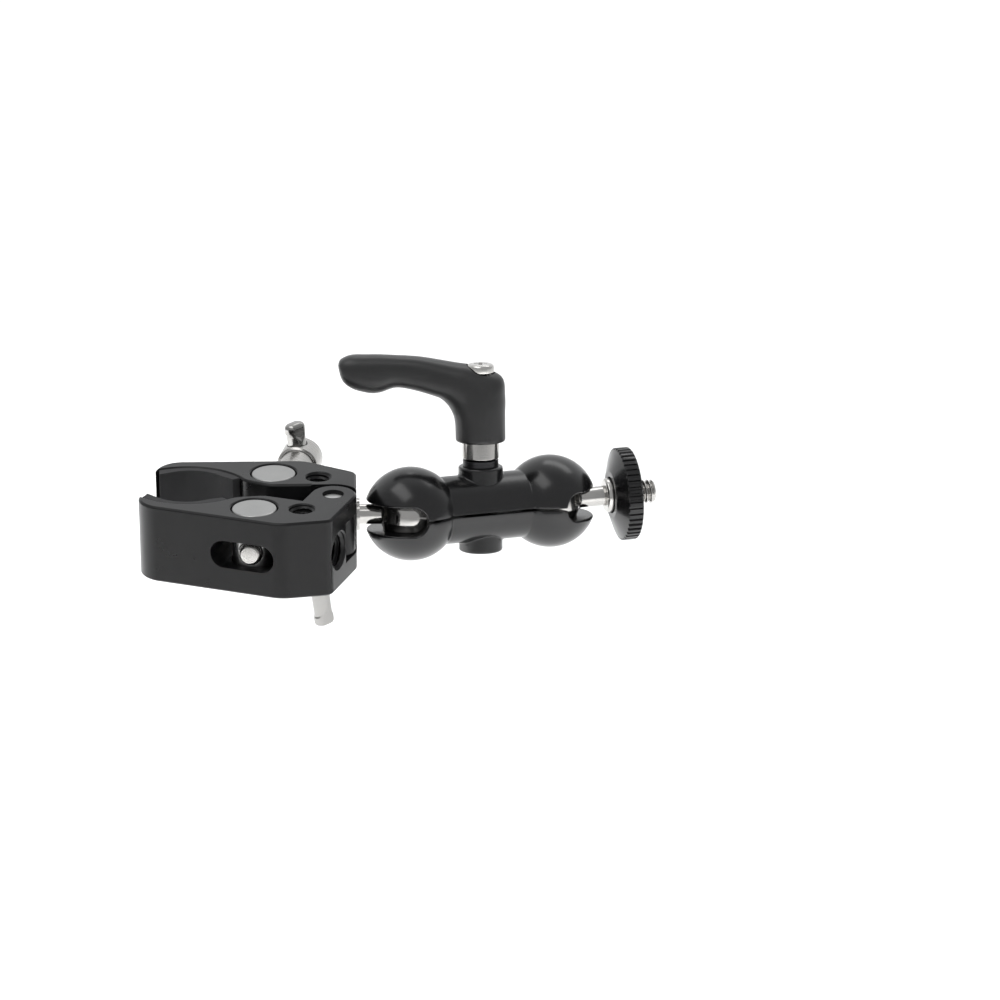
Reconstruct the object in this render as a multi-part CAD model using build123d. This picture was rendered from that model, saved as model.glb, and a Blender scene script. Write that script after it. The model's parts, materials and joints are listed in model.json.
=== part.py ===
"""Super clamp with a double ball arm, in millimetres.

Row frame: the origin is on the axis of the pole that the jaws grip, at the jaws' mid-height.
+Z runs up the pole, +X runs from the pole to the jaws' hinge pin, and +Y runs to the rear jaw.
"""
from build123d import *
import math
import os

# ---- driving dimensions --------------------------------------------------------------------
POLE_DIAMETER = 21.0
PIVOT_X = 37.5              # pole axis to hinge pin
JAW_ANGLE = 10.6            # each jaw's lean from the centreline as it grips the pole
JAW_HEIGHT = 20.5
JAW_EDGE = 0.5              # chamfer round the jaws' top and bottom faces

# one jaw in its own frame: u from the pin towards the arm, v outwards
END_U = 5.9                 # flat end face
OUTER_V = 23.3              # long outer face
FRONT_CORNER_V = 16.6       # where the sloping face meets the end face
FRONT_SHOULDER_U = -5.2     # where the sloping face meets the outer face
REAR_CORNER_V = 15.0
REAR_SHOULDER_U = -7.6
CORNER_R = 2.6
SHOULDER_R = 9.0
TIP_U = -38.8               # where the tip's round starts
INNER_V = 6.5               # flat inner face
NOSE = [(-21.8, 9.5), (-16.2, INNER_V)]
NOSE_R = 6.0
SEAT_CENTRE = (-37.9, 2.3)
SEAT_R = 17.0
SEAT_FROM = 28.8            # ends of the pad's seat, as angles about its centre
SEAT_TO = 117.57
EAR_R = 5.9
KNUCKLE_R = 5.5
KNUCKLE_HEIGHT = 10.0
KNUCKLE_GAP = 0.25
NOTCH_R = 6.6

# rubber pads
PAD_HEIGHT = 20.0
PAD_FROM = 34.5             # ends of the glued back, as angles about the seat's centre
PAD_TO = 114.0
GRIP_FROM = 37.0            # ends of the face that fits the pole, as angles about the pole
GRIP_TO = 118.0
PAD_HEEL = (-25.7, 11.0)
PAD_TOE = (-44.6, 15.0)

# hinge pin
PIN_R = 2.7
PIN_RECESS = 0.9

# cross barrels, their bores and the slot that the screw swings in
BARREL_U = -15.35
BARREL_V = 15.0
BARREL_R = 5.7
BARREL_BORE_R = 5.95
BARREL_RECESS = 0.15
SLOT_U = -15.5
SLOT_LENGTH = 17.0
SLOT_HEIGHT = 7.2

# threaded sockets, at the threads' major diameters
QUARTER_R = 3.175           # 1/4"-20
THREE_EIGHTHS_R = 4.7625    # 3/8"-16
TOP_HOLE = (-3.8, 11.8)
END_HOLE_V = 11.2
END_HOLE_DEPTH = 7.0
HOLE_CHAMFER = 0.35

# T-screw and its sliding bar
SCREW_R = 3.0
SCREW_BORE_R = 3.1
SCREW_TIP = 7.1             # past the front barrel's axis
JOURNAL_R = 3.4
JOURNAL_END = 13.0          # these four are distances behind the rear barrel's axis
NECK_R = 4.65
HEAD_START = 29.6
HEAD_END = 38.1
HEAD_R = 5.5
HEAD_CHAMFER = 0.6
RING_GROOVE_R = 2.6
RING_WIRE_R = 0.4
RING_INSET = 6.6            # ahead of the rear barrel's axis
BAR_R = 2.5
BAR_HOLE_R = 2.75
BAR_UP = 11.0               # bar's ends, from the head's axis
BAR_DOWN = -47.5
BAR_LEAN = 7.5
CRIMP_LENGTH = 5.0
CRIMP_WIDTH = 5.8
CRIMP_THICKNESS = 3.8

# ball studs
BALL_R = 8.0
NECK_STUD_R = 2.6
COLLAR_R = 4.5
BALL_TO_JAW = 13.9
CLAMP_STUD_R = 3.1

# arm: x along the arm, z along its clamping bolt, origin midway between the balls
ARM_TWIST = -10.0           # about the clamp's ball stud
ARM_SWING = 21.0            # in the shells' split plane
BALL_SPACING = 39.2
SHELL_R = 12.15
SOCKET_R = 8.06
TUBE_R = 8.8
SPLIT = 0.7                 # gap between the two shells
MOUTH_HALF = 3.7            # half the height of the stud's slot
MOUTH_SWING = 72.0
TOP_BOSS_R = 5.8
TOP_BOSS_Z = 11.0
LOW_BOSS_R = 5.7
LOW_BOSS_Z = -11.4
CREASE_R = 0.5              # where the balls run into the tube
BOSS_FOOT_R = 0.5
BOSS_RIM_R = 0.6
MOUTH_EDGE_R = 0.4
BOLT_R = 2.5
BOLT_TOP = 22.5
BOLT_HEAD_AF = 8.0
BOLT_HEAD = 3.5
SPRING_POCKET_R = 4.9
SPRING_POCKET = 3.2

# lever stack on the bolt
WASHER_R = 4.65
WASHER_T = 0.95
INSERT_R = 4.8
INSERT_Z = 13.05
INSERT_TOP = 27.6
SPLINE_Z = 24.4
SPLINE_ROOT = 4.35
SPLINE_TEETH = 16
SPLINE_SLACK = 0.12
LEVER_ANGLE = 157.0         # lever's direction about the bolt
LEVER_BOTTOM = 17.6
LEVER_HUB_R = 6.45
LEVER_TOP = 36.0
LEVER_EDGE_R = 1.5
WEB_Z = 28.0
WEB_T = 1.2
HEAD_WELL_R = 3.8
LEVER_SCREW_R = 2.0
LEVER_SCREW_HEAD_R = 3.55
LEVER_SCREW_SEAT = 35.6
LEVER_SCREW_HEAD = 2.2
LEVER_SCREW_TIP = 24.2

# light end: distances from the ball's centre along the stud
LIGHT_SWING = -10.0
LIGHT_TILT = 2.4            # the ball's lean out of the split plane
COLLAR_START = 14.9
COLLAR_END = 17.0
STUD_END = 28.2
STUD_RELIEF_R = 2.75        # under the wheel
STUD_FULL = 22.9
WHEEL_BACK = 16.5
WHEEL_BACK_R = 6.6
WHEEL_RIM = 19.05
WHEEL_FRONT = 22.4
WHEEL_R = 12.3
WHEEL_RIBS = 50
WHEEL_GROOVE = 0.45
WHEEL_WELL_R = 4.8
WHEEL_WELL = 18.0
WHEEL_BORE_R = 3.25
PAD_RING_IN = 4.4
PAD_RING_OUT = 10.2
PAD_RING_Z = 21.65
PAD_RING_PROUD = 0.3

os.makedirs("parts", exist_ok=True)
HALF = JAW_HEIGHT / 2
REAR = Location((PIVOT_X, 0, 0), (0, 0, JAW_ANGLE))
FRONT = Location((PIVOT_X, 0, 0), (0, 0, -JAW_ANGLE))
BALL_L = REAR * Pos(END_U + BALL_TO_JAW, END_HOLE_V, 0) * Rot(ARM_TWIST, 0, 0)
ARM = BALL_L * Rot(0, 0, ARM_SWING) * Pos(BALL_SPACING / 2, 0, 0)
LIGHT = ARM * Pos(BALL_SPACING / 2, 0, 0) * Rot(0, 0, LIGHT_SWING) * Rot(0, -LIGHT_TILT, 0)
ALONG_X = Rot(0, 90, 0)     # turns a shape built up Z so that it runs up X
ALONG_Y = Rot(-90, 0, 0)    # turns a shape built up Z so that it runs up Y


# ---- helpers -------------------------------------------------------------------------------
def save(name, shape, place=None):
    solid = shape if place is None else place * shape
    export_step(solid, f"parts/{name}.step")


def rod(radius, low, high, chamfered=0.0):
    """A cylinder up Z from low to high."""
    body = Pos(0, 0, low) * Cylinder(radius, high - low, align=(Align.CENTER, Align.CENTER, Align.MIN))
    if chamfered:
        body = chamfer(body.edges().filter_by(GeomType.CIRCLE), chamfered)
    return body


def turned(points):
    """A solid turned about Z from (radius, height) points."""
    profile = Plane.XZ * make_face(Polyline(*points, close=True))
    return revolve(profile, Axis.Z)


def around(centre, radius, degrees):
    """The point on a circle at an angle."""
    turn = math.radians(degrees)
    return (centre[0] + radius * math.cos(turn), centre[1] + radius * math.sin(turn))


def soften(sketch, point, radius):
    """Rounds the corner of a sketch that is nearest to a point."""
    corner = sketch.vertices().sort_by_distance((point[0], point[1], 0))[0]
    return fillet(corner, radius)


def coil(radius, wire, low, high, turns):
    """A compression spring up Z."""
    path = Pos(0, 0, low + wire) * Helix((high - low - 2 * wire) / turns, high - low - 2 * wire, radius)
    start = path @ 0
    section = Plane(origin=start, z_dir=path % 0) * Circle(wire)
    return sweep(section, path=path)


# ---- jaws ----------------------------------------------------------------------------------
def jaw_outline(corner_v, shoulder_u):
    """The jaw seen from above, in its own frame."""
    corner = (END_U, corner_v)
    shoulder = (shoulder_u, OUTER_V)
    tip = (TIP_U, OUTER_V)
    toe, middle, heel = [around(SEAT_CENTRE, SEAT_R, a) for a in (SEAT_TO, 72.0, SEAT_FROM)]
    face = make_face(
        [
            Polyline((END_U, 0), corner, shoulder, tip),
            TangentArc(tip, toe, tangent=(-1, 0)),
            ThreePointArc(toe, middle, heel),
            Polyline(heel, *NOSE, (-EAR_R, INNER_V), (-EAR_R, 0)),
            ThreePointArc((-EAR_R, 0), (0, -EAR_R), (END_U, 0)),
        ]
    )
    face = soften(face, corner, CORNER_R)
    face = soften(face, NOSE[-1], NOSE_R)
    return soften(face, shoulder, SHOULDER_R)


def tall_box(u_low, u_high, v_low, v_high, z_low, z_high):
    size = (u_high - u_low, v_high - v_low, z_high - z_low)
    return Pos(u_low, v_low, z_low) * Box(*size, align=(Align.MIN, Align.MIN, Align.MIN))


def jaw_blank(corner_v, shoulder_u, end_radius):
    """A jaw before its knuckles are cut, with its bores."""
    body = extrude(jaw_outline(corner_v, shoulder_u), amount=HALF, both=True)
    rims = body.faces().sort_by(Axis.Z)
    body = chamfer(rims[0].edges() + rims[-1].edges(), JAW_EDGE)
    body -= Pos(BARREL_U, BARREL_V, 0) * Cylinder(BARREL_BORE_R, 2 * JAW_HEIGHT)
    slot = SlotOverall(SLOT_LENGTH, SLOT_HEIGHT)
    body -= Pos(SLOT_U, 0, 0) * extrude(Plane.XZ * slot, amount=-40)
    body -= Pos(*TOP_HOLE, 0) * Cylinder(QUARTER_R, 2 * JAW_HEIGHT)
    end_hole = rod(end_radius, -END_HOLE_DEPTH, 1)
    body -= Pos(END_U, END_HOLE_V, 0) * ALONG_X * end_hole
    rim = Cone(end_radius, end_radius + HOLE_CHAMFER, HOLE_CHAMFER)
    body -= Pos(END_U - HOLE_CHAMFER / 2, END_HOLE_V, 0) * ALONG_X * rim
    for side in (1, -1):
        for (u, v), radius in (((BARREL_U, BARREL_V), BARREL_BORE_R), (TOP_HOLE, QUARTER_R)):
            small, large = (radius, radius + HOLE_CHAMFER)
            ring = Cone(small, large, HOLE_CHAMFER) if side > 0 else Cone(large, small, HOLE_CHAMFER)
            body -= Pos(u, v, side * (HALF - HOLE_CHAMFER / 2)) * ring
    return body


def make_rear_jaw():
    """The rear jaw has the one middle knuckle."""
    body = jaw_blank(REAR_CORNER_V, REAR_SHOULDER_U, QUARTER_R)
    half_knuckle = KNUCKLE_HEIGHT / 2
    for side in (1, -1):
        middle = side * (half_knuckle + HALF) / 2
        body -= Pos(0, 0, middle) * Cylinder(NOTCH_R, HALF - half_knuckle)
        low, high = sorted((side * half_knuckle, side * HALF))
        body -= tall_box(-NOTCH_R - 0.2, 0, -NOTCH_R, INNER_V, low, high)
    trim = tall_box(-EAR_R - 1, EAR_R + 1, -EAR_R - 1, INNER_V, -half_knuckle, half_knuckle)
    knuckle_face = Circle(KNUCKLE_R) + Pos(0, INNER_V / 2) * Rectangle(2 * KNUCKLE_R, INNER_V)
    keep = extrude(knuckle_face, amount=half_knuckle, both=True)
    body -= trim - keep
    return body - Cylinder(PIN_R + 0.05, 2 * JAW_HEIGHT)


def make_front_jaw():
    """The front jaw has an ear above and an ear below the rear jaw's knuckle."""
    body = jaw_blank(FRONT_CORNER_V, FRONT_SHOULDER_U, THREE_EIGHTHS_R)
    half_notch = KNUCKLE_HEIGHT / 2 + KNUCKLE_GAP
    body -= tall_box(-NOTCH_R - 0.2, EAR_R + 1, -NOTCH_R, INNER_V, -half_notch, half_notch)
    return body - Cylinder(PIN_R + 0.01, 2 * JAW_HEIGHT)


def make_pad():
    """A rubber pad: its back fits the jaw's seat and its middle fits the pole."""
    lean = math.radians(JAW_ANGLE)
    pole = (-PIVOT_X * math.cos(lean), PIVOT_X * math.sin(lean))
    pole_r = POLE_DIAMETER / 2
    back = [around(SEAT_CENTRE, SEAT_R, a) for a in (PAD_FROM, (PAD_FROM + PAD_TO) / 2, PAD_TO)]
    grip = [around(pole, pole_r, a) for a in (GRIP_TO, (GRIP_FROM + GRIP_TO) / 2, GRIP_FROM)]
    outline = [
        ThreePointArc(*back),
        Line(back[2], PAD_TOE),
        Line(PAD_TOE, grip[0]),
        ThreePointArc(*grip),
        Line(grip[2], PAD_HEEL),
        Line(PAD_HEEL, back[0]),
    ]
    return extrude(make_face(outline), amount=PAD_HEIGHT / 2, both=True)


def flipped(shape):
    """A rear-jaw shape turned into its front-jaw twin, still in the jaw's frame."""
    return mirror(shape, about=Plane.XZ)


def make_jaws():
    save("rear_jaw", make_rear_jaw(), REAR)
    save("front_jaw", flipped(make_front_jaw()), FRONT)
    pad = make_pad()
    save("rear_jaw_pad", pad, REAR)
    save("front_jaw_pad", flipped(pad), FRONT)
    pin = rod(PIN_R, -HALF + PIN_RECESS, HALF - PIN_RECESS, chamfered=0.3)
    save("jaw_pivot_pin", pin, Pos(PIVOT_X, 0, 0))


# ---- clamping screw ------------------------------------------------------------------------
def make_barrel():
    """A cross barrel with the screw's bore along Y."""
    top = HALF - BARREL_RECESS
    body = rod(BARREL_R, -top, top, chamfered=0.3)
    return body - ALONG_Y * Cylinder(SCREW_BORE_R, 40)


def make_screw(tip):
    """The T-screw up Z, from its tip to the head that holds the bar."""
    groove_low = -RING_INSET - RING_WIRE_R
    groove_high = -RING_INSET + RING_WIRE_R
    head_mid = (HEAD_START + HEAD_END) / 2
    tip_r = SCREW_R - 0.9
    profile = [
        (0, tip),
        (tip_r, tip),
        (SCREW_R, tip + 0.9),
        (SCREW_R, groove_low),
        (RING_GROOVE_R, groove_low),
        (RING_GROOVE_R, groove_high),
        (SCREW_R, groove_high),
        (SCREW_R, BARREL_R + 0.05),
        (JOURNAL_R, BARREL_R + 0.05),
        (JOURNAL_R, JOURNAL_END),
        (NECK_R - 0.5, JOURNAL_END),
        (NECK_R, JOURNAL_END + 0.5),
        (NECK_R, HEAD_START),
        (HEAD_R - HEAD_CHAMFER, HEAD_START),
        (HEAD_R, HEAD_START + HEAD_CHAMFER),
        (HEAD_R, HEAD_END - HEAD_CHAMFER),
        (HEAD_R - HEAD_CHAMFER, HEAD_END),
        (0, HEAD_END),
    ]
    body = turned(profile)
    return body - Pos(0, 0, head_mid) * Rot(90, 0, 0) * Cylinder(BAR_HOLE_R, 30)


def make_ring():
    """The wire ring in the screw's groove, open at one side."""
    section = Plane.XZ * Pos(RING_GROOVE_R + RING_WIRE_R, 0) * Circle(RING_WIRE_R - 0.02)
    return revolve(section, Axis.Z, revolution_arc=320)


def make_bar():
    """The sliding bar up Z about the head's axis, with its two crimped ends."""
    body = rod(BAR_R, BAR_DOWN + CRIMP_LENGTH, BAR_UP - CRIMP_LENGTH)
    blend = CRIMP_LENGTH * 0.4
    for end, side in ((BAR_UP, 1), (BAR_DOWN, -1)):
        root = end - side * CRIMP_LENGTH
        flat = Plane(origin=(0, 0, root + side * blend)) * Ellipse(CRIMP_WIDTH / 2, CRIMP_THICKNESS / 2)
        low = Plane(origin=(0, 0, root)) * Circle(BAR_R)
        body += loft([low, flat] if side > 0 else [flat, low])
        tip = extrude(flat, amount=side * (CRIMP_LENGTH - blend))
        body += chamfer(tip.faces().sort_by(Axis.Z)[-1 if side > 0 else 0].edges(), 0.9)
    return body


def make_clamp_screw():
    rear_barrel = REAR * Pos(BARREL_U, BARREL_V, 0)
    front_barrel = FRONT * Pos(BARREL_U, -BARREL_V, 0)
    rear_at = rear_barrel.position
    front_at = front_barrel.position
    span = rear_at.Y - front_at.Y
    barrel = make_barrel()
    save("rear_barrel", barrel, Pos(rear_at))
    save("front_barrel_nut", barrel, Pos(front_at))
    lean = Rot(0, -BAR_LEAN, 0)
    screw_place = Pos(rear_at) * lean * ALONG_Y
    save("clamp_screw", make_screw(-span - SCREW_TIP), screw_place)
    save("screw_retaining_ring", Pos(0, 0, -RING_INSET) * make_ring(), screw_place)
    head = Pos(rear_at) * lean * Pos(0, (HEAD_START + HEAD_END) / 2, 0)
    save("tommy_bar", make_bar(), head)


# ---- ball studs ----------------------------------------------------------------------------
def make_ball_stud(sections):
    """A ball at the origin with a stud up Z made of (radius, low, high) sections."""
    body = Sphere(BALL_R) + rod(NECK_STUD_R, 0, sections[0][1])
    for radius, low, high, edge in sections:
        body += rod(radius, low, high)
        if edge:
            body = chamfer(body.edges().filter_by(GeomType.CIRCLE).sort_by(Axis.Z)[-1], edge)
    return body


def make_studs():
    jaw_end = BALL_TO_JAW + END_HOLE_DEPTH - 0.3
    collar = (COLLAR_R - 0.3, BALL_TO_JAW - 0.8, BALL_TO_JAW - 0.05, 0)
    thread = (CLAMP_STUD_R, BALL_TO_JAW - 0.05, jaw_end, 0)
    clamp_stud = make_ball_stud([collar, thread])
    save("clamp_ball_stud", clamp_stud, BALL_L * Rot(0, -90, 0))
    seat = (NECK_STUD_R, COLLAR_START, COLLAR_END, 0)
    relief = (STUD_RELIEF_R, COLLAR_END, STUD_FULL, 0)
    light_thread = (QUARTER_R, STUD_FULL, STUD_END, 0.5)
    save("light_ball_stud", make_ball_stud([seat, relief, light_thread]), LIGHT * ALONG_X)
    collar_ring = rod(COLLAR_R, COLLAR_START, COLLAR_END, chamfered=0.4) - Cylinder(NECK_STUD_R, 60)
    save("light_stud_collar", collar_ring, LIGHT * ALONG_X)


# ---- arm -----------------------------------------------------------------------------------
def stud_mouth():
    """The slot that the stud swings in, at the ball's centre, opening towards +X."""
    reach = SHELL_R + 2
    tips = [around((0, 0), reach * 1.6, a) for a in (-MOUTH_SWING, -MOUTH_SWING / 2, 0)]
    tips += [(x, -y) for x, y in reversed(tips[:2])]
    body = extrude(make_face(Polyline((0, 0), *tips, close=True)), amount=MOUTH_HALF, both=True)
    for side in (1, -1):
        body += Rot(0, 0, side * MOUTH_SWING) * ALONG_X * rod(MOUTH_HALF, 0, reach)
    return body


def is_mouth_rim(edge):
    """Whether an edge of the arm is where a stud's slot meets the ball's outside."""
    places = [edge @ 0, edge @ 0.5, edge @ 1]
    reach = [math.dist((abs(p.X), p.Y, p.Z), (BALL_SPACING / 2, 0, 0)) for p in places]
    height = max(abs(p.Z) for p in places)
    return all(abs(r - SHELL_R) < 0.01 for r in reach) and height < MOUTH_HALF + 0.01


def arm_solid():
    """Both shells as one solid, before they are split."""
    half = BALL_SPACING / 2
    body = ALONG_X * Cylinder(TUBE_R, BALL_SPACING)
    for side in (1, -1):
        body += Pos(side * half, 0, 0) * Sphere(SHELL_R)
    body = fillet(body.edges().filter_by(GeomType.BSPLINE), CREASE_R)
    body += rod(TOP_BOSS_R, 0, TOP_BOSS_Z) + rod(LOW_BOSS_R, LOW_BOSS_Z, 0)
    feet = [e for e in body.edges().filter_by(GeomType.BSPLINE) if abs(e.center().X) < TOP_BOSS_R + 1]
    body = fillet(feet, BOSS_FOOT_R)
    rims = [e for e in body.edges().filter_by(GeomType.CIRCLE) if abs(e.center().Z) > TOP_BOSS_Z - 0.1]
    body = fillet([e for e in rims if abs(e.center().X) < TOP_BOSS_R + 1], BOSS_RIM_R)
    for side, turn in ((1, 0), (-1, 180)):
        body -= Pos(side * half, 0, 0) * Rot(0, 0, turn) * stud_mouth()
    mouths = [e for e in body.edges() if is_mouth_rim(e)]
    body = fillet(mouths, MOUTH_EDGE_R)
    for side in (1, -1):
        body -= Pos(side * half, 0, 0) * Sphere(SOCKET_R)
    body -= Cylinder(BOLT_R + 0.15, 60)
    body -= rod(SPRING_POCKET_R, -SPRING_POCKET, SPRING_POCKET)
    hexagon = RegularPolygon(BOLT_HEAD_AF / 2 + 0.06, 6, major_radius=False)
    pocket_top = LOW_BOSS_Z + BOLT_HEAD + 0.4
    return body - Pos(0, 0, LOW_BOSS_Z - 1) * extrude(hexagon, amount=pocket_top - LOW_BOSS_Z + 1)


def make_bolt():
    seat = LOW_BOSS_Z + BOLT_HEAD + 0.4
    hexagon = RegularPolygon(BOLT_HEAD_AF / 2, 6, major_radius=False)
    head = Pos(0, 0, seat - BOLT_HEAD) * extrude(hexagon, amount=BOLT_HEAD)
    return head + rod(BOLT_R, seat, BOLT_TOP, chamfered=0.4)


def make_shells():
    body = arm_solid()
    for name, side in (("upper_shell", 1), ("lower_shell", -1)):
        keep = Pos(0, 0, side * (SPLIT / 2 + 30)) * Box(120, 60, 60)
        save(name, body & keep, ARM)
    save("arm_bolt", make_bolt(), ARM)
    pocket = SPRING_POCKET - 0.1
    save("shell_spring", coil(3.9, 0.45, -pocket, pocket, 2.5), ARM)


# ---- clamping lever ------------------------------------------------------------------------
def spline(low, high, slack=0.0):
    """A toothed cylinder up Z, all of it larger by the slack."""
    pitch = 360 / SPLINE_TEETH
    root, crest = (SPLINE_ROOT + slack, INSERT_R + slack)
    face = Circle(root)
    width = math.pi * SPLINE_ROOT / SPLINE_TEETH + 2 * slack
    tooth = Pos((root + crest) / 2 - 0.3, 0) * Rectangle(crest - root + 0.6, width)
    for index in range(SPLINE_TEETH):
        face += Rot(0, 0, index * pitch) * tooth
    face = face & Circle(crest)
    return Pos(0, 0, low) * extrude(face, amount=high - low)


def make_insert():
    """The steel bush that screws onto the bolt and drives with its spline."""
    body = rod(INSERT_R, INSERT_Z, SPLINE_Z, chamfered=0.25)
    body += spline(SPLINE_Z, INSERT_TOP)
    body -= rod(BOLT_R + 0.08, 0, BOLT_TOP + 0.4)
    return body - rod(LEVER_SCREW_R, LEVER_SCREW_TIP - 0.4, INSERT_TOP + 1)


def lever_side():
    """The lever's side view: x towards its tip, y up the bolt."""
    hub = LEVER_HUB_R
    top = [(-3.4, LEVER_TOP - 0.3), (2.5, 37.2), (12.4, 39.2), (26.5, 40.2), (34.4, 40.0)]
    tip = [(36.4, 37.4), (35.8, 34.6), (33.4, 31.5)]
    under = [(27.1, 30.3), (21.7, 31.6), (14.5, 30.3), (9.2, 27.6), (hub, 21.4)]
    back = (-hub, 31.2)
    outline = [
        Line((hub, LEVER_BOTTOM), (-hub, LEVER_BOTTOM)),
        Line((-hub, LEVER_BOTTOM), back),
        ThreePointArc(back, (-5.6, 34.4), top[0]),
        Spline(*top),
        ThreePointArc(top[-1], (36.0, 39.2), tip[0]),
        Spline(*tip),
        Spline(tip[-1], *under, tangents=[(-1, -0.35), (0, -1)]),
        Line((hub, 21.4), (hub, LEVER_BOTTOM)),
    ]
    return make_face(outline)


def lever_plan():
    """The lever seen down the bolt."""
    hub = Circle(LEVER_HUB_R)
    sides = [(0, LEVER_HUB_R), (8.0, 4.9), (18.0, 3.7), (29.0, 4.4), (35.4, 4.3), (36.6, 3.0)]
    mirrored = [(x, -y) for x, y in reversed(sides)]
    edge = [Spline(*sides[:5]), Line(sides[4], sides[5]), Line(sides[5], mirrored[0])]
    edge += [Line(mirrored[0], mirrored[1]), Spline(*mirrored[1:]), Line(mirrored[-1], sides[0])]
    return hub + make_face(edge)


def is_lever_edge(edge):
    """Whether an edge of the lever is rounded: all but the hub's foot and its upright seams."""
    start, end = (edge @ 0, edge @ 1)
    upright = abs(start.X - end.X) < 0.01 and abs(start.Y - end.Y) < 0.01
    return edge.center().Z > LEVER_BOTTOM + 1 and not (upright and start.X < LEVER_HUB_R + 0.5)


def make_lever():
    """The ratchet lever, hollow for the insert, its spline, the spring and the screw's head."""
    side = extrude(Plane.XZ * lever_side(), amount=10, both=True)
    plan = Pos(0, 0, LEVER_BOTTOM) * extrude(lever_plan(), amount=30)
    body = side & plan
    body = fillet([e for e in body.edges() if is_lever_edge(e)], LEVER_EDGE_R)
    body -= rod(INSERT_R + SPLINE_SLACK, 0, SPLINE_Z + 0.1)
    body -= spline(SPLINE_Z, WEB_Z, SPLINE_SLACK)
    body -= rod(LEVER_SCREW_R + 0.15, WEB_Z - 1, WEB_Z + WEB_T + 1)
    return body - rod(HEAD_WELL_R, WEB_Z + WEB_T, LEVER_TOP + 6)


def make_lever_screw():
    """The cross-recess screw that holds the lever down on its insert."""
    seat = LEVER_SCREW_SEAT
    body = rod(LEVER_SCREW_R - 0.05, LEVER_SCREW_TIP, seat)
    head = rod(LEVER_SCREW_HEAD_R, seat, seat + LEVER_SCREW_HEAD)
    head = fillet(head.edges().sort_by(Axis.Z)[-1], 1.0)
    body += head
    recess = extrude(Rectangle(3.4, 0.8) + Rectangle(0.8, 3.4), amount=1.4)
    return body - Pos(0, 0, seat + LEVER_SCREW_HEAD - 1.2) * recess


def make_washer(low, cup):
    """A washer on the bolt; cup is how much its inner edge stands up."""
    return turned(
        [
            (BOLT_R + 0.35, low + cup),
            (WASHER_R, low),
            (WASHER_R, low + WASHER_T - cup),
            (BOLT_R + 0.35, low + WASHER_T),
        ]
    )


def make_lever_stack():
    turned_lever = ARM * Rot(0, 0, LEVER_ANGLE)
    save("thrust_washer", make_washer(TOP_BOSS_Z + 0.05, 0), ARM)
    save("spring_washer", make_washer(TOP_BOSS_Z + 0.05 + WASHER_T + 0.05, 0.3), ARM)
    save("lever_insert", make_insert(), turned_lever)
    save("ratchet_lever", make_lever(), turned_lever)
    save("lever_screw", make_lever_screw(), turned_lever)
    spring = coil(3.05, 0.35, WEB_Z + WEB_T + 0.1, LEVER_SCREW_SEAT - 0.1, 3)
    save("lever_spring", spring, turned_lever)


# ---- thumbwheel ----------------------------------------------------------------------------
def make_wheel():
    """The knurled lock wheel, with a well for the collar and a groove for the pad."""
    body = turned(
        [
            (WHEEL_BORE_R, WHEEL_WELL),
            (WHEEL_WELL_R, WHEEL_WELL),
            (WHEEL_WELL_R, WHEEL_BACK),
            (WHEEL_BACK_R, WHEEL_BACK),
            (WHEEL_R, WHEEL_RIM),
            (WHEEL_R, WHEEL_FRONT - 0.5),
            (WHEEL_R - 0.5, WHEEL_FRONT),
            (PAD_RING_OUT + 0.05, WHEEL_FRONT),
            (PAD_RING_OUT + 0.05, PAD_RING_Z - 0.05),
            (PAD_RING_IN - 0.05, PAD_RING_Z - 0.05),
            (PAD_RING_IN - 0.05, WHEEL_FRONT),
            (WHEEL_BORE_R, WHEEL_FRONT),
        ]
    )
    ribs = Circle(WHEEL_R + 1)
    for index in range(WHEEL_RIBS):
        angle = index * 360 / WHEEL_RIBS
        ribs -= Rot(0, 0, angle) * Pos(WHEEL_R + WHEEL_GROOVE / 2, 0) * Circle(WHEEL_GROOVE)
    return body & Pos(0, 0, WHEEL_BACK - 1) * extrude(ribs, amount=10)


def make_thumbwheel():
    save("thumbwheel", make_wheel(), LIGHT * ALONG_X)
    pad = rod(PAD_RING_OUT, PAD_RING_Z, WHEEL_FRONT + PAD_RING_PROUD)
    pad -= Cylinder(PAD_RING_IN, 60)
    save("thumbwheel_pad", pad, LIGHT * ALONG_X)


make_jaws()
make_clamp_screw()
make_studs()
make_shells()
make_lever_stack()
make_thumbwheel()
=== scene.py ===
import json
import math

import bmesh
import bpy
from mathutils import Matrix, Vector


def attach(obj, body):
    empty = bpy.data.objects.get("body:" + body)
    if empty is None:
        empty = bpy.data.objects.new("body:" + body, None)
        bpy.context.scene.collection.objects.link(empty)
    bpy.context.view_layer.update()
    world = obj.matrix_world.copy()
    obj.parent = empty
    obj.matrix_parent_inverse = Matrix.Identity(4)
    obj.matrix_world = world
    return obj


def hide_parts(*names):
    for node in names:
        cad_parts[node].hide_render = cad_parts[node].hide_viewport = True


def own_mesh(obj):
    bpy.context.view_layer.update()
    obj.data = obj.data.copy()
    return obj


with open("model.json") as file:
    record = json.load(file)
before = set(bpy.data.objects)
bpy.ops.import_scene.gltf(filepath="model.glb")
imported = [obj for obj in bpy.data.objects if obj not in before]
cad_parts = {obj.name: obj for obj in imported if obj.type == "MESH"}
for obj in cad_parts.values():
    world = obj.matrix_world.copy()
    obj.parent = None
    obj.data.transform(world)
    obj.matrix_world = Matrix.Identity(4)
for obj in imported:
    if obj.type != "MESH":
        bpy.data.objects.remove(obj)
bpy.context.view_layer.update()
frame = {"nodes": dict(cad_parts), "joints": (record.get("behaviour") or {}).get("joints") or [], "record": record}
MM = 0.001

joints = {joint["name"]: joint for joint in frame["joints"]}
nodes = frame["nodes"]


# ---- frames of the sub-assemblies, read from the record ------------------------------------
def place(joint_name):
    """Where a joint's axis passes, at rest."""
    return Vector(joints[joint_name]["pos_m"])


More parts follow.
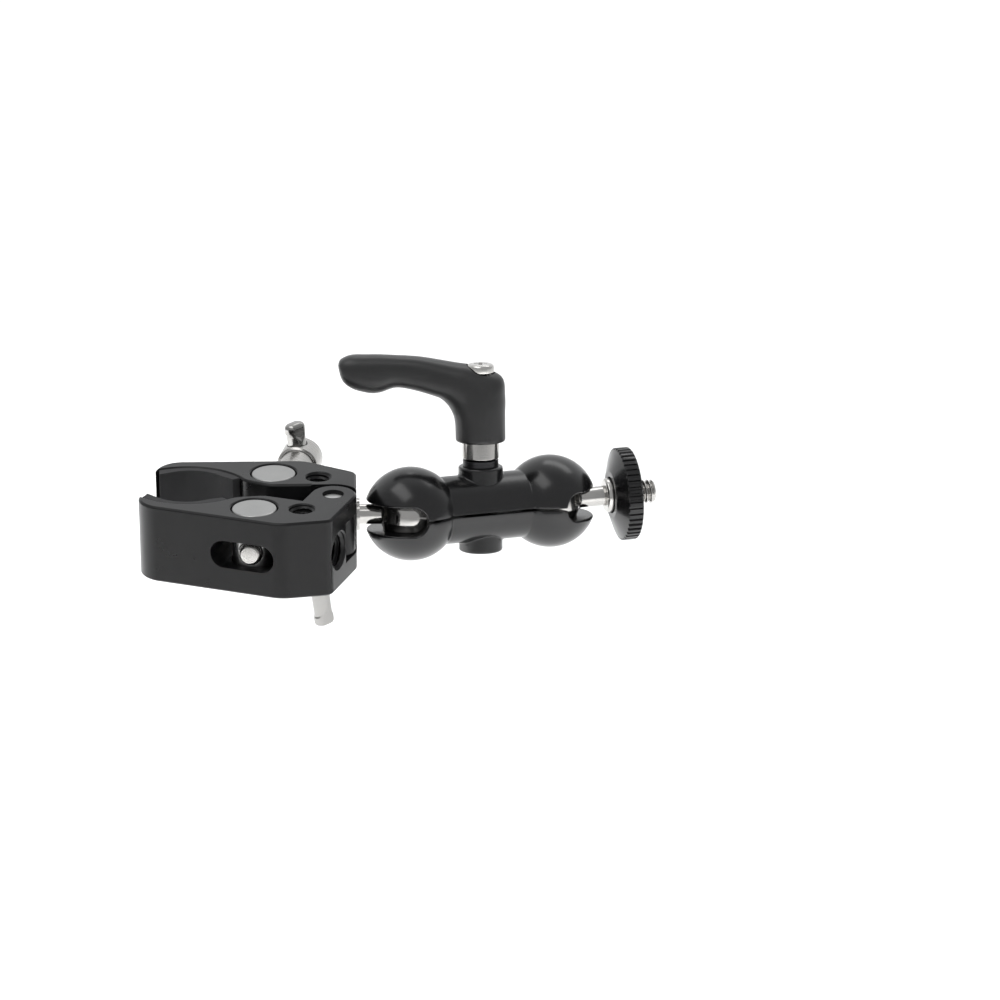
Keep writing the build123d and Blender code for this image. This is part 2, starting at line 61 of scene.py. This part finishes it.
def direction(joint_name):
    """A joint's axis as a unit vector."""
    return Vector(joints[joint_name]["axis"]).normalized()


def basis(origin, x_hint, z_axis):
    """A matrix with the given Z axis, and X as near as it can be to the hint."""
    z = z_axis.normalized()
    y = z.cross(x_hint).normalized()
    x = y.cross(z)
    matrix = Matrix((x, y, z)).transposed().to_4x4()
    matrix.translation = origin
    return matrix


UP = Vector((0, 0, 1))
PIVOT = place("jaw_pivot")
REAR_U = direction("arm_twist")
FRONT_U = Vector((REAR_U.x, -REAR_U.y, 0))
REAR = basis(PIVOT, REAR_U, UP)
FRONT = basis(PIVOT, FRONT_U, UP) @ Matrix.Scale(-1, 4, (0, 1, 0))
BALL_L = place("arm_swing")
BALL_R = place("light_stud_swing")
BOLT = direction("lever_turn")
ARM = basis(place("lever_turn"), BALL_R - BALL_L, BOLT)
LIGHT = basis(BALL_R, BOLT, direction("thumbwheel_spin"))
SCREW = basis(place("screw_spin"), Vector((1, 0, 0)), direction("screw_spin"))


# ---- node materials ------------------------------------------------------------------------
class Shader:
    """A small helper that builds one material's node tree."""

    def __init__(self, name, base, rough, metallic=0.0):
        self.material = bpy.data.materials.new(name)
        self.material.use_nodes = True
        self.tree = self.material.node_tree
        self.surface = self.tree.nodes["Principled BSDF"]
        self.set("Base Color", (*base, 1))
        self.set("Roughness", rough)
        self.set("Metallic", metallic)
        self.coordinates = self.node("ShaderNodeTexCoord").outputs["Object"]

    def set(self, socket, value):
        self.surface.inputs[socket].default_value = value

    def node(self, kind, **inputs):
        made = self.tree.nodes.new(kind)
        for name, value in inputs.items():
            made.inputs[name.replace("_", " ")].default_value = value
        return made

    def link(self, source, target):
        self.tree.links.new(source, target)

    def noise(self, scale, detail=4.0, stretch=(1, 1, 1), rough=0.55):
        mapping = self.node("ShaderNodeMapping")
        mapping.inputs["Scale"].default_value = stretch
        self.link(self.coordinates, mapping.inputs["Vector"])
        made = self.node("ShaderNodeTexNoise", Scale=scale, Detail=detail, Roughness=rough)
        self.link(mapping.outputs["Vector"], made.inputs["Vector"])
        return made.outputs["Fac"]

    def ramp(self, value, low, high, start, end):
        """Maps a 0-1 value onto start-end between the limits low and high."""
        made = self.node("ShaderNodeMapRange")
        made.inputs["From Min"].default_value = low
        made.inputs["From Max"].default_value = high
        made.inputs["To Min"].default_value = start
        made.inputs["To Max"].default_value = end
        self.link(value, made.inputs["Value"])
        return made.outputs["Result"]

    def blend(self, factor, first, second):
        made = self.tree.nodes.new("ShaderNodeMix")
        made.data_type = "RGBA"
        made.inputs["A"].default_value = (*first, 1)
        made.inputs["B"].default_value = (*second, 1)
        self.link(factor, made.inputs["Factor"])
        return made.outputs["Result"]

    def larger(self, first, second):
        made = self.node("ShaderNodeMath")
        made.operation = "MAXIMUM"
        self.link(first, made.inputs[0])
        self.link(second, made.inputs[1])
        return made.outputs["Value"]

    def turned(self, centre, axis, scale):
        """Fine rings about an axis, as a lathe leaves them."""
        offset = self.node("ShaderNodeVectorMath")
        offset.operation = "SUBTRACT"
        self.link(self.coordinates, offset.inputs[0])
        offset.inputs[1].default_value = centre
        across = self.node("ShaderNodeVectorMath")
        across.operation = "CROSS_PRODUCT"
        self.link(offset.outputs[0], across.inputs[0])
        across.inputs[1].default_value = axis
        radius = self.node("ShaderNodeVectorMath")
        radius.operation = "LENGTH"
        self.link(across.outputs[0], radius.inputs[0])
        along = self.node("ShaderNodeVectorMath")
        along.operation = "DOT_PRODUCT"
        self.link(offset.outputs[0], along.inputs[0])
        along.inputs[1].default_value = axis
        joined = self.node("ShaderNodeCombineXYZ")
        self.link(radius.outputs["Value"], joined.inputs["X"])
        self.link(along.outputs["Value"], joined.inputs["Y"])
        rings = self.node("ShaderNodeTexNoise", Scale=scale, Detail=2.0, Roughness=0.5)
        self.link(joined.outputs["Vector"], rings.inputs["Vector"])
        return rings.outputs["Fac"]

    def rough(self, value):
        self.link(value, self.surface.inputs["Roughness"])

    def color(self, value):
        self.link(value, self.surface.inputs["Base Color"])

    def bump(self, value, depth, strength=0.4):
        made = self.node("ShaderNodeBump", Strength=strength, Distance=depth)
        self.link(value, made.inputs["Height"])
        self.link(made.outputs["Normal"], self.surface.inputs["Normal"])


def anodised(name, base, rough):
    s = Shader(name, base, rough)
    s.set("Specular IOR Level", 0.24)
    grain = s.noise(5200, 2)
    cloud = s.noise(90, 4)
    tone = s.ramp(cloud, 0.35, 0.65, 0.35, 0.65)
    dust = s.ramp(s.noise(1500, 1), 0.74, 0.8, 0, 1)
    s.color(s.blend(s.larger(tone, dust), [0, 0, 0], [c * 2 for c in base]))
    s.rough(s.ramp(cloud, 0.3, 0.7, rough - 0.04, rough + 0.05))
    s.bump(grain, 0.00002, 0.3)
    return s.material


def lacquer(name, base, rough, texture, specular=0.5):
    s = Shader(name, base, rough)
    s.set("Specular IOR Level", specular)
    s.rough(s.ramp(s.noise(160, 4), 0.3, 0.7, rough - 0.03, rough + 0.05))
    s.bump(s.noise(texture, 2), 0.00004, 0.25)
    return s.material


def plated(name, base, rough, about=None, scale=3000):
    """Plated steel, with turned rings about an axis (matrix) where one is given."""
    s = Shader(name, base, rough, metallic=1.0)
    lines = s.turned(about.translation, about.col[2].xyz, scale) if about else s.noise(scale, 3)
    stain = s.noise(140, 4)
    s.color(s.blend(s.ramp(stain, 0.35, 0.7, 0, 1), base, [c * 0.9 for c in base]))
    s.rough(s.ramp(lines, 0.3, 0.7, rough - 0.03, rough + 0.06))
    s.bump(lines, 0.000006, 0.2)
    return s.material


def rubber(name, base):
    s = Shader(name, base, 0.8)
    s.set("Specular IOR Level", 0.35)
    cloud = s.noise(200, 4)
    s.color(s.blend(s.ramp(cloud, 0.35, 0.7, 0, 1), base, [c * 1.6 for c in base]))
    s.rough(s.ramp(cloud, 0.3, 0.7, 0.7, 0.88))
    s.bump(s.noise(4000, 3), 0.00006, 0.5)
    return s.material


def upright(joint_name):
    return Matrix.Translation(place(joint_name))


NICKEL = (0.44, 0.43, 0.415)
MATERIALS = {
    "anodised_jaw": anodised("jaw_anodising", (0.003, 0.003, 0.0032), 0.3),
    "grip_rubber": rubber("grip_rubber", (0.012, 0.012, 0.0125)),
    "barrel_steel": plated("barrel_steel", (0.34, 0.34, 0.335), 0.34),
    "pin_steel": plated("pin_steel", (0.6, 0.6, 0.59), 0.36, upright("jaw_pivot")),
    "screw_steel": plated("screw_steel", NICKEL, 0.25, SCREW),
    "ring_steel": plated("ring_steel", (0.3, 0.29, 0.28), 0.35),
    "bar_steel": plated("bar_steel", (0.34, 0.335, 0.325), 0.2),
    "stud_steel": plated("stud_steel", (0.48, 0.47, 0.455), 0.13, LIGHT),
    "shell_lacquer": lacquer("shell_lacquer", (0.002, 0.002, 0.0022), 0.22, 1200),
    "bolt_steel": plated("bolt_steel", (0.05, 0.05, 0.05), 0.35),
    "spring_steel": plated("spring_steel", (0.4, 0.39, 0.38), 0.3),
    "washer_steel": plated("washer_steel", (0.05, 0.05, 0.052), 0.3, ARM),
    "insert_steel": plated("insert_steel", NICKEL, 0.16, ARM),
    "lever_lacquer": lacquer("lever_lacquer", (0.006, 0.006, 0.0062), 0.38, 2500, 0.5),
    "lever_screw_steel": plated("lever_screw_steel", (0.55, 0.54, 0.52), 0.18, ARM),
    "collar_steel": plated("collar_steel", (0.55, 0.54, 0.52), 0.18, LIGHT),
    "wheel_lacquer": lacquer("wheel_lacquer", (0.003, 0.003, 0.0032), 0.2, 2500, 0.45),
    "wheel_rubber": rubber("wheel_rubber", (0.012, 0.012, 0.0125)),
}

for part in frame["record"]["subparts"]:
    mesh = nodes[part["node"]].data
    mesh.materials.clear()
    mesh.materials.append(MATERIALS[part["material_slot"]])


# ---- mesh helpers --------------------------------------------------------------------------
def cylinder_point(radius, turn, height):
    return Vector((radius * math.cos(turn), radius * math.sin(turn), height))


def rounded(profile, radius, steps=3):
    """A profile with each inner corner rounded, by at most a third of its shorter side."""
    out = [profile[0]]
    for before, corner, after in zip(profile, profile[1:], profile[2:]):
        here = Vector(corner)
        back = Vector(before) - here
        ahead = Vector(after) - here
        reach = min(radius, back.length / 3, ahead.length / 3)
        if reach < 1e-6:
            out.append(corner)
            continue
        first = here + back.normalized() * reach
        last = here + ahead.normalized() * reach
        for step in range(steps + 1):
            t = step / steps
            point = first * (1 - t) ** 2 + here * 2 * t * (1 - t) + last * t**2
            out.append((point.x, point.y))
    out.append(profile[-1])
    return out


def lathe(profile, segments=96, closed=False):
    """A mesh turned about Z from (radius, height) points in millimetres."""
    shape = bmesh.new()
    rings = []
    for radius, height in profile:
        if radius < 1e-6:
            rings.append([shape.verts.new((0, 0, height))])
            continue
        turns = [2 * math.pi * i / segments for i in range(segments)]
        rings.append([shape.verts.new(cylinder_point(radius, turn, height)) for turn in turns])
    pairs = list(zip(rings, rings[1:]))
    if closed:
        pairs.append((rings[-1], rings[0]))
    for low, high in pairs:
        for i in range(segments):
            j = (i + 1) % segments
            below = (low[i % len(low)], low[j % len(low)])
            above = (high[j % len(high)], high[i % len(high)])
            corners = list(dict.fromkeys(below + above))
            if len(corners) > 2:
                shape.faces.new(corners)
    return shape


def threaded(shape, low, high, pitch, depth, run_out):
    """Presses a helical groove into the turned rows of a mesh between two heights."""
    for vertex in shape.verts:
        x, y, z = vertex.co
        if not low < z < high or abs(x) + abs(y) < 1e-6:
            continue
        phase = (z / pitch - math.atan2(y, x) / (2 * math.pi)) % 1
        groove = max(0, 1 - abs(phase - 0.5) / 0.44)
        fade = min(1, (z - low) / run_out, (high - z) / run_out)
        scale = 1 - depth * groove * fade / math.hypot(x, y)
        vertex.co.x *= scale
        vertex.co.y *= scale


def rows(radius, low, high, step):
    """Profile points up a cylinder, close enough together to take a thread."""
    count = max(2, round((high - low) / step))
    return [(radius, low + (high - low) * i / count) for i in range(count + 1)]


def add_object(name, shape, matrix, sharp=32):
    """A mesh object from a bmesh in millimetres, set in the row's frame."""
    bmesh.ops.recalc_face_normals(shape, faces=shape.faces)
    mesh = bpy.data.meshes.new(name)
    shape.to_mesh(mesh)
    shape.free()
    mesh.transform(matrix @ Matrix.Scale(MM, 4))
    if matrix.determinant() < 0:
        mesh.flip_normals()
    made = bpy.data.objects.new(name, mesh)
    bpy.context.scene.collection.objects.link(made)
    shade(made, sharp)
    return made


def shade(made, sharp):
    made.data.shade_smooth()
    made.data.set_sharp_from_angle(angle=math.radians(sharp))


def bake(made):
    """Applies an object's modifiers."""
    evaluated = made.evaluated_get(bpy.context.evaluated_depsgraph_get())
    mesh = bpy.data.meshes.new_from_object(evaluated)
    made.modifiers.clear()
    made.data = mesh


def finish_piece(made, body, slot, *replaced):
    made.data.materials.clear()
    made.data.materials.append(MATERIALS[slot])
    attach(made, body)
    if replaced:
        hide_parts(*replaced)


def carve(made, cutter):
    """Cuts one object out of another."""
    cut = made.modifiers.new("cut", "BOOLEAN")
    cut.operation = "DIFFERENCE"
    cut.solver = "EXACT"
    cut.object = cutter
    bake(made)
    bpy.data.objects.remove(cutter)


# ---- threads -------------------------------------------------------------------------------
def tapped_hole(name, body, matrix, radius, low, high, pitch, depth):
    """The helical ridge inside a tapped hole, seated in the hole's wall."""
    wall = radius + 0.08
    inner = rows(radius - depth, low, high, pitch / 12)
    shape = lathe([(wall, low), *inner, (wall, high)], segments=72, closed=True)
    for vertex in shape.verts:
        x, y, z = vertex.co
        across = math.hypot(x, y)
        if across > radius:
            continue
        phase = (z / pitch - math.atan2(y, x) / (2 * math.pi)) % 1
        ridge = min(1, abs(phase - 0.5) / 0.42)
        fade = min(1, (z - low) / 0.4, (high - z) / 0.4)
        wanted = radius + 0.02 - depth * (1 - ridge) * fade
        vertex.co.x *= wanted / across
        vertex.co.y *= wanted / across
    made = add_object(name, shape, matrix, 60)
    finish_piece(made, body, "anodised_jaw")


QUARTER_TWENTY = 1.27
THREE_EIGHTHS_SIXTEEN = 1.5875


def tapped_holes():
    for body, jaw in (("rear_jaw", REAR), ("front_jaw", FRONT)):
        top = jaw @ Matrix.Translation(Vector((-3.8, 11.8, 0)) * MM)
        tapped_hole(body + "_top_thread", body, top, 3.175, -9.85, 9.85, QUARTER_TWENTY, 0.62)
    end_face = Matrix.Translation(Vector((5.9, 11.2, 0)) * MM)
    mouth = FRONT @ end_face @ Matrix.Rotation(math.pi / 2, 4, "Y")
    pitch = THREE_EIGHTHS_SIXTEEN
    tapped_hole("front_jaw_end_thread", "front_jaw", mouth, 4.7625, -6.9, -0.35, pitch, 0.8)


tapped_holes()


# ---- clamping screw ------------------------------------------------------------------------
CROSS_HOLE = SCREW @ (Vector((0, 0, 33.85)) * MM)


def clamp_screw():
    """The T-screw with its thread, journal, sleeve and cross-drilled head."""
    span = (place("screw_spin") - place("front_barrel_swivel")).length / MM
    tip = -span - 7.1
    shank = rows(3.0, tip + 0.9, -7.1, 1 / 12)
    journal = [(3.0, 5.75), (3.4, 5.75), (3.4, 13.0)]
    sleeve = [(4.15, 13.0), (4.65, 13.5), (4.65, 29.6), (4.9, 29.6)]
    head = [(5.5, 30.2), (5.5, 37.5), (4.9, 38.1), (3.4, 38.1), (2.9, 37.8), (0, 37.8)]
    groove = [(2.6, -7.0), (2.6, -6.2), (3.0, -6.2)]
    start = [(0, tip), (2.1, tip), (2.2, tip + 0.03)]
    shape = lathe([*start, *shank, *groove, *rounded(journal + sleeve + head, 0.15)], segments=96)
    threaded(shape, tip + 0.3, -7.6, 1.0, 0.58, 0.8)
    made = add_object("clamp_screw_body", shape, SCREW, 40)
    along = basis(CROSS_HOLE, Vector((1, 0, 0)), direction("tommy_bar_slide"))
    mouths = [(3.3, -9), (3.3, -5.5), (2.75, -5), (2.75, 5), (3.3, 5.5), (3.3, 9)]
    hole = lathe(rounded([(0, -9), *mouths, (0, 9)], 0.1), 64)
    carve(made, add_object("hole", hole, along))
    shade(made, 40)
    finish_piece(made, "clamp_screw", "screw_steel", "clamp_screw")


clamp_screw()


PINCH_TURN = math.radians(48)
BAR_R = 2.5
BAR_LOW = -47.5
BAR_HIGH = 11.0


def bar_heights():
    """Heights of the bar's rings: close together near its ends, far apart between them."""
    last = BAR_HIGH - 0.02
    heights = [BAR_LOW + 0.02]
    while heights[-1] < last:
        near_end = min(heights[-1] - BAR_LOW, BAR_HIGH - heights[-1]) < 7
        heights.append(min(last, heights[-1] + (0.35 if near_end else 3)))
    return heights


def bar_point(turn, end):
    """A point of the bar's section at a distance from its nearer end."""
    across, facing = (math.cos(turn), math.sin(turn))
    reach = 4.6 - 1.5 * abs(across)
    flat = min(1, max(0, (reach - end) / 0.6))
    bulge = BAR_R + 0.45 * flat * across**2
    thick = min(abs(BAR_R * facing), BAR_R - 0.6 * flat)
    round_off = 0.5 + 0.5 * math.sqrt(max(0.0, 1 - (1 - min(1, end / 1.3)) ** 2))
    return Vector((bulge * across, math.copysign(thick, facing), 0)) * round_off


def tommy_bar():
    """The sliding bar, its ends pinched flat between two jaws of a press."""
    segments = 64
    shape = bmesh.new()
    rings = []
    for z in bar_heights():
        end = min(z - BAR_LOW, BAR_HIGH - z)
        points = [bar_point(2 * math.pi * i / segments, end) for i in range(segments)]
        rings.append([shape.verts.new((point.x, point.y, z)) for point in points])
    for low_ring, high_ring in zip(rings, rings[1:]):
        for i in range(segments):
            j = (i + 1) % segments
            shape.faces.new((low_ring[i], low_ring[j], high_ring[j], high_ring[i]))
    shape.faces.new(reversed(rings[0]))
    shape.faces.new(rings[-1])
    pinched = Vector((math.cos(PINCH_TURN), math.sin(PINCH_TURN), 0))
    along = basis(CROSS_HOLE, pinched, direction("tommy_bar_slide"))
    made = add_object("tommy_bar_rod", shape, along, 50)
    finish_piece(made, "tommy_bar", "bar_steel", "tommy_bar")


tommy_bar()


# ---- light stud ----------------------------------------------------------------------------
BALL_RADIUS = 8.0
RELIEF_TOP = 22.9
RELIEF_R = 3.05


def light_stud():
    """The ball, its neck and the 1/4"-20 thread."""
    turns = [math.radians(degrees) for degrees in range(0, 160, 3)]
    ball = [(BALL_RADIUS * math.sin(turn), -BALL_RADIUS * math.cos(turn)) for turn in turns]
    neck = [(2.95, 7.6), (2.6, 8.2), (2.6, 17.0), (2.9, 17.0)]
    thread = rows(3.175, 17.2, 27.7, QUARTER_TWENTY / 12)
    shape = lathe([*ball, *neck, *thread, (2.66, 28.2), (0, 28.2)], segments=96)
    threaded(shape, 17.3, 28.1, QUARTER_TWENTY, 0.62, 0.7)
    for vertex in shape.verts:
        across = math.hypot(vertex.co.x, vertex.co.y)
        if 17.1 < vertex.co.z < RELIEF_TOP and across > RELIEF_R:
            vertex.co.x *= RELIEF_R / across
            vertex.co.y *= RELIEF_R / across
    made = add_object("light_ball_stud_body", shape, LIGHT, 40)
    finish_piece(made, "light_stud", "stud_steel", "light_ball_stud")


light_stud()


# ---- ratchet lever -------------------------------------------------------------------------
def catmull_rom(a, b, c, d, t):
    """A value between b and c on the smooth curve through a, b, c and d."""
    square = 2 * a - 5 * b + 4 * c - d
    cube = 3 * b - a - 3 * c + d
    return 0.5 * (2 * b + (c - a) * t + square * t**2 + cube * t**3)


def spline(stations, steps):
    """The stations from the second to the last but one, with smooth steps between them."""
    out = []
    for group in zip(stations, stations[1:], stations[2:], stations[3:]):
        for step in range(steps):
            out.append([catmull_rom(*values, step / steps) for values in zip(*group)])
    return out


def squircle(turn, power):
    """A point on a unit superellipse."""
    x, y = math.cos(turn), math.sin(turn)
    return (math.copysign(abs(x) ** (2 / power), x), math.copysign(abs(y) ** (2 / power), y))


# Stations along the lever: reach and height of the inner point, of the outer point, half width.
LEVER_STATIONS = [
    (6.45, 17.6, -6.45, 17.6, 6.45),
    (6.5, 20.0, -6.43, 20.5, 6.45),
    (6.6, 22.0, -6.4, 24.5, 6.4),
    (7.0, 24.3, -6.4, 29.4, 6.3),
    (8.2, 26.7, -5.4, 34.5, 5.9),
    (10.0, 28.6, 1.2, 37.2, 5.3),
    (12.0, 29.5, 6.5, 38.1, 4.9),
    (17.0, 31.0, 15.5, 39.6, 4.2),
    (21.7, 31.7, 21.7, 40.0, 4.0),
    (25.6, 30.5, 26.0, 40.2, 4.15),
    (28.4, 30.25, 29.0, 40.2, 4.25),
    (32.4, 31.2, 33.2, 40.1, 4.25),
    (34.8, 32.7, 35.9, 39.0, 3.7),
    (35.8, 34.2, 36.6, 37.6, 2.4),
]
LEVER_TIP = (36.3, 35.9, 36.7, 36.1, 0.6)
LEVER_TURN = math.radians(157)
HUB_R = 6.45
HUB_LOW = 17.6


def lever_section(station, segments):
    """The points round the lever at one station: round at the hub, squarer along the handle."""
    inner_reach, inner_height, outer_reach, outer_height, width = station
    centre = Vector(((inner_reach + outer_reach) / 2, 0, (inner_height + outer_height) / 2))
    half = Vector((inner_reach - outer_reach, 0, inner_height - outer_height)) / 2
    power = 2 + 0.5 * min(1, max(0, (inner_reach - 7) / 8))
    corners = [squircle(2 * math.pi * i / segments, power) for i in range(segments)]
    return [centre + half * x + Vector((0, width * y, 0)) for x, y in corners]


def ratchet_lever():
    """The moulded lever: a round hub that bends into a flat, waisted handle."""
    matrix = ARM @ Matrix.Rotation(LEVER_TURN, 4, "Z")
    stations = spline([LEVER_STATIONS[0], *LEVER_STATIONS, LEVER_TIP], 6) + [LEVER_STATIONS[-1]]
    segments = 96
    turns = [2 * math.pi * i / segments for i in range(segments)]
    loops = []
    for inset, lift in ((0.5, 0.0), (0.2, 0.1), (0.05, 0.3)):
        loops.append([cylinder_point(HUB_R - inset, turn, HUB_LOW + lift) for turn in turns])
    loops.extend(lever_section(station, segments) for station in stations[2:])
    shape = bmesh.new()
    rings = [[shape.verts.new(point) for point in loop] for loop in loops]
    for low, high in zip(rings, rings[1:]):
        for i in range(segments):
            j = (i + 1) % segments
            shape.faces.new((low[i], low[j], high[j], high[i]))
    shape.faces.new(reversed(rings[0]))
    tip = shape.verts.new((36.4, 0, 35.9))
    for i in range(segments):
        shape.faces.new((rings[-1][i], rings[-1][(i + 1) % segments], tip))
    made = add_object("ratchet_lever_body", shape, matrix)
    mouth = [(0, 16), (5.4, 16), (5.4, 17.7), (4.95, 18.1)]
    bore = rounded([*mouth, (4.95, 28.05), (2.3, 28.05), (2.3, 29.2)], 0.05)
    well = [(3.8, 29.2), (3.8, 44), (0, 44)]
    carve(made, add_object("bore", lathe([*bore, *well], segments), matrix))
    shade(made, 40)
    finish_piece(made, "lever", "lever_lacquer", "ratchet_lever")


ratchet_lever()


def lever_spring():
    """The coil between the lever and its screw's head, copied from the CAD spring and carried with the lever
    insert; it is not shortened here when the lever is lifted.
    """
    made = bpy.data.objects.new("lever_spring_coil", nodes["lever_spring"].data.copy())
    bpy.context.scene.collection.objects.link(made)
    shade(made, 50)
    finish_piece(made, "lever_insert", "spring_steel", "lever_spring")
    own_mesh(made)


lever_spring()


# ---- thumbwheel ----------------------------------------------------------------------------
RIBS = 45
RIM_R = 12.2
RIB_DEPTH = 0.5
RIB_FOOT = 10.4


def thumbwheel():
    """The ribbed wheel: its grooves run along the rim and break out through the cone's edge."""
    profile = rounded(
        [
            (3.25, 22.4),
            (3.25, 18.0),
            (4.8, 18.0),
            (4.8, 16.5),
            (6.3, 16.5),
            (11.5, 18.4),
            (RIM_R, 18.65),
            (RIM_R, 22.0),
            (11.8, 22.4),
            (10.25, 22.4),
            (10.25, 21.6),
            (4.35, 21.6),
            (4.35, 22.4),
            (3.25, 22.4),
        ],
        0.18,
    )
    segments = RIBS * 14
    shape = lathe(profile[:-1], segments, closed=True)
    for vertex in shape.verts:
        x, y, z = vertex.co
        across = math.hypot(x, y)
        if across < RIB_FOOT:
            continue
        phase = (math.atan2(y, x) / (2 * math.pi) * RIBS) % 1
        groove = min(1, max(0, (abs(phase - 0.5) - 0.24) / 0.1))
        wanted = min(across, RIM_R - RIB_DEPTH * groove**2 * (3 - 2 * groove))
        vertex.co.x *= wanted / across
        vertex.co.y *= wanted / across
    made = add_object("thumbwheel_body", shape, LIGHT, 35)
    finish_piece(made, "thumbwheel", "wheel_lacquer", "thumbwheel")


thumbwheel()


# ---- softened copies of the CAD nodes ------------------------------------------------------
def soften(node, body, slot, width, segments=2, sharp=30):
    """A CAD node's mesh with its sharp edges rounded over."""
    mesh = nodes[node].data.copy()
    mesh.transform(Matrix.Scale(1 / MM, 4))
    shape = bmesh.new()
    shape.from_mesh(mesh)
    bpy.data.meshes.remove(mesh)
    bmesh.ops.remove_doubles(shape, verts=shape.verts, dist=0.0005)
    flatness = math.radians(0.4)
    bmesh.ops.dissolve_limit(
        shape, angle_limit=flatness, verts=shape.verts, edges=shape.edges, delimit={"NORMAL"}
    )
    made = add_object(node + "_soft", shape, Matrix.Identity(4))
    bevel = made.modifiers.new("bevel", "BEVEL")
    bevel.width = width * MM
    bevel.segments = segments
    bevel.limit_method = "ANGLE"
    bevel.angle_limit = math.radians(sharp)
    bevel.use_clamp_overlap = False
    bake(made)
    shade(made, 50)
    flat = made.modifiers.new("flat", "WEIGHTED_NORMAL")
    flat.keep_sharp = True
    flat.weight = 100
    bake(made)
    finish_piece(made, body, slot, node)


# How far each node's edges are rounded over, in millimetres.
SOFT_EDGES = {
    "rear_jaw": 0.12,
    "front_jaw": 0.12,
    "rear_barrel": 0.15,
    "front_barrel_nut": 0.15,
    "jaw_pivot_pin": 0.15,
    "upper_shell": 0.08,
    "lower_shell": 0.08,
    "lever_insert": 0.12,
    "lever_screw": 0.12,
    "light_stud_collar": 0.15,
    "thumbwheel_pad": 0.1,
    "rear_jaw_pad": 0.12,
    "front_jaw_pad": 0.12,
    "arm_bolt": 0.12,
}
slots = {part["node"]: part["material_slot"] for part in frame["record"]["subparts"]}
for body, members in frame["record"]["behaviour"]["bodies"].items():
    for node in members:
        if node in SOFT_EDGES:
            soften(node, body, slots[node], SOFT_EDGES[node])


# ---- floor, light and camera ---------------------------------------------------------------
FLOOR_Z = -0.075


def pale_floor():
    mesh = bpy.data.meshes.new("floor")
    shape = bmesh.new()
    bmesh.ops.create_grid(shape, x_segments=1, y_segments=1, size=4)
    shape.to_mesh(mesh)
    shape.free()
    floor = bpy.data.objects.new("floor", mesh)
    floor.location.z = FLOOR_Z
    bpy.context.scene.collection.objects.link(floor)
    paint = Shader("floor_paint", (0.82, 0.82, 0.82), 0.6)
    paint.color(paint.blend(paint.noise(3, 2), (0.80, 0.80, 0.80), (0.84, 0.84, 0.84)))
    mesh.materials.append(paint.material)


def sky():
    """A white studio, brightest behind the object and a little above it."""
    world = bpy.data.worlds.new("studio")
    world.use_nodes = True
    tree = world.node_tree
    background = tree.nodes["Background"]
    background.inputs["Color"].default_value = (0.98, 0.99, 1, 1)
    facing = tree.nodes.new("ShaderNodeVectorMath")
    facing.operation = "DOT_PRODUCT"
    facing.inputs[1].default_value = (-0.12, 0.93, 0.35)
    tree.links.new(tree.nodes.new("ShaderNodeTexCoord").outputs["Generated"], facing.inputs[0])
    glow = tree.nodes.new("ShaderNodeMapRange")
    glow.interpolation_type = "SMOOTHSTEP"
    glow.inputs["From Min"].default_value = 0.2
    glow.inputs["From Max"].default_value = 0.9
    glow.inputs["To Min"].default_value = 0.55
    glow.inputs["To Max"].default_value = 1.0
    tree.links.new(facing.outputs["Value"], glow.inputs["Value"])
    tree.links.new(glow.outputs["Result"], background.inputs["Strength"])
    bpy.context.scene.world = world
    bpy.context.scene.view_settings.view_transform = "Standard"


# Each lamp: name, place, width and height in metres, power in watts, the point it aims at.
LAMPS = [
    ("key", (-0.35, -0.3, 1.3), (1.3, 0.6), 5.2, (0.04, 0, 0)),
    ("rim", (0.3, 0.9, 1.1), (1.2, 0.4), 3.0, (0.04, 0, 0)),
    ("left", (-0.26, -0.02, 0.16), (0.25, 0.3), 2.2, (-0.26, -0.02, FLOOR_Z)),
    ("backdrop", (0, 2.2, 1.5), (3, 2), 32.0, (0, 2.2, 0)),
    ("right", (0.25, -0.17, 0.16), (0.2, 0.3), 1.5, (0.25, -0.17, FLOOR_Z)),
]


def lamps():
    """Area lamps. Only the key and the rim show in reflections; the others whiten the floor."""
    for name, at, (width, height), power, aim in LAMPS:
        light = bpy.data.lights.new(name, "AREA")
        light.shape = "RECTANGLE"
        light.size = width
        light.size_y = height
        light.energy = power
        lamp = bpy.data.objects.new(name, light)
        lamp.visible_glossy = name in ("key", "rim")
        lamp.location = at
        lamp.rotation_euler = (Vector(aim) - Vector(at)).to_track_quat("-Z", "Y").to_euler()
        bpy.context.scene.collection.objects.link(lamp)


AZIMUTH = math.radians(8.13)
ELEVATION = math.radians(22.3)
ROLL = math.radians(0.4)


def camera():
    """A long lens at the photograph's angle, aimed a little to the right of the jaws' hinge."""
    right = Vector((math.cos(AZIMUTH), math.sin(AZIMUTH), 0))
    back = Vector(
        (
            math.sin(AZIMUTH) * math.cos(ELEVATION),
            -math.cos(AZIMUTH) * math.cos(ELEVATION),
            math.sin(ELEVATION),
        )
    )
    up = back.cross(right)
    turned_right = right * math.cos(ROLL) + up * math.sin(ROLL)
    turned_up = up * math.cos(ROLL) - right * math.sin(ROLL)
    matrix = Matrix((turned_right, turned_up, back)).transposed().to_4x4()
    matrix.translation = PIVOT + right * 0.042294 + up * 0.008215 + back * 0.9
    data = bpy.data.cameras.new("camera")
    data.lens = 127.33
    data.sensor_width = 36
    made = bpy.data.objects.new("camera", data)
    made.matrix_world = matrix
    bpy.context.scene.collection.objects.link(made)
    bpy.context.scene.camera = made


pale_floor()
sky()
lamps()
camera()


def corners(box):
    return [list(corner) for corner in box]
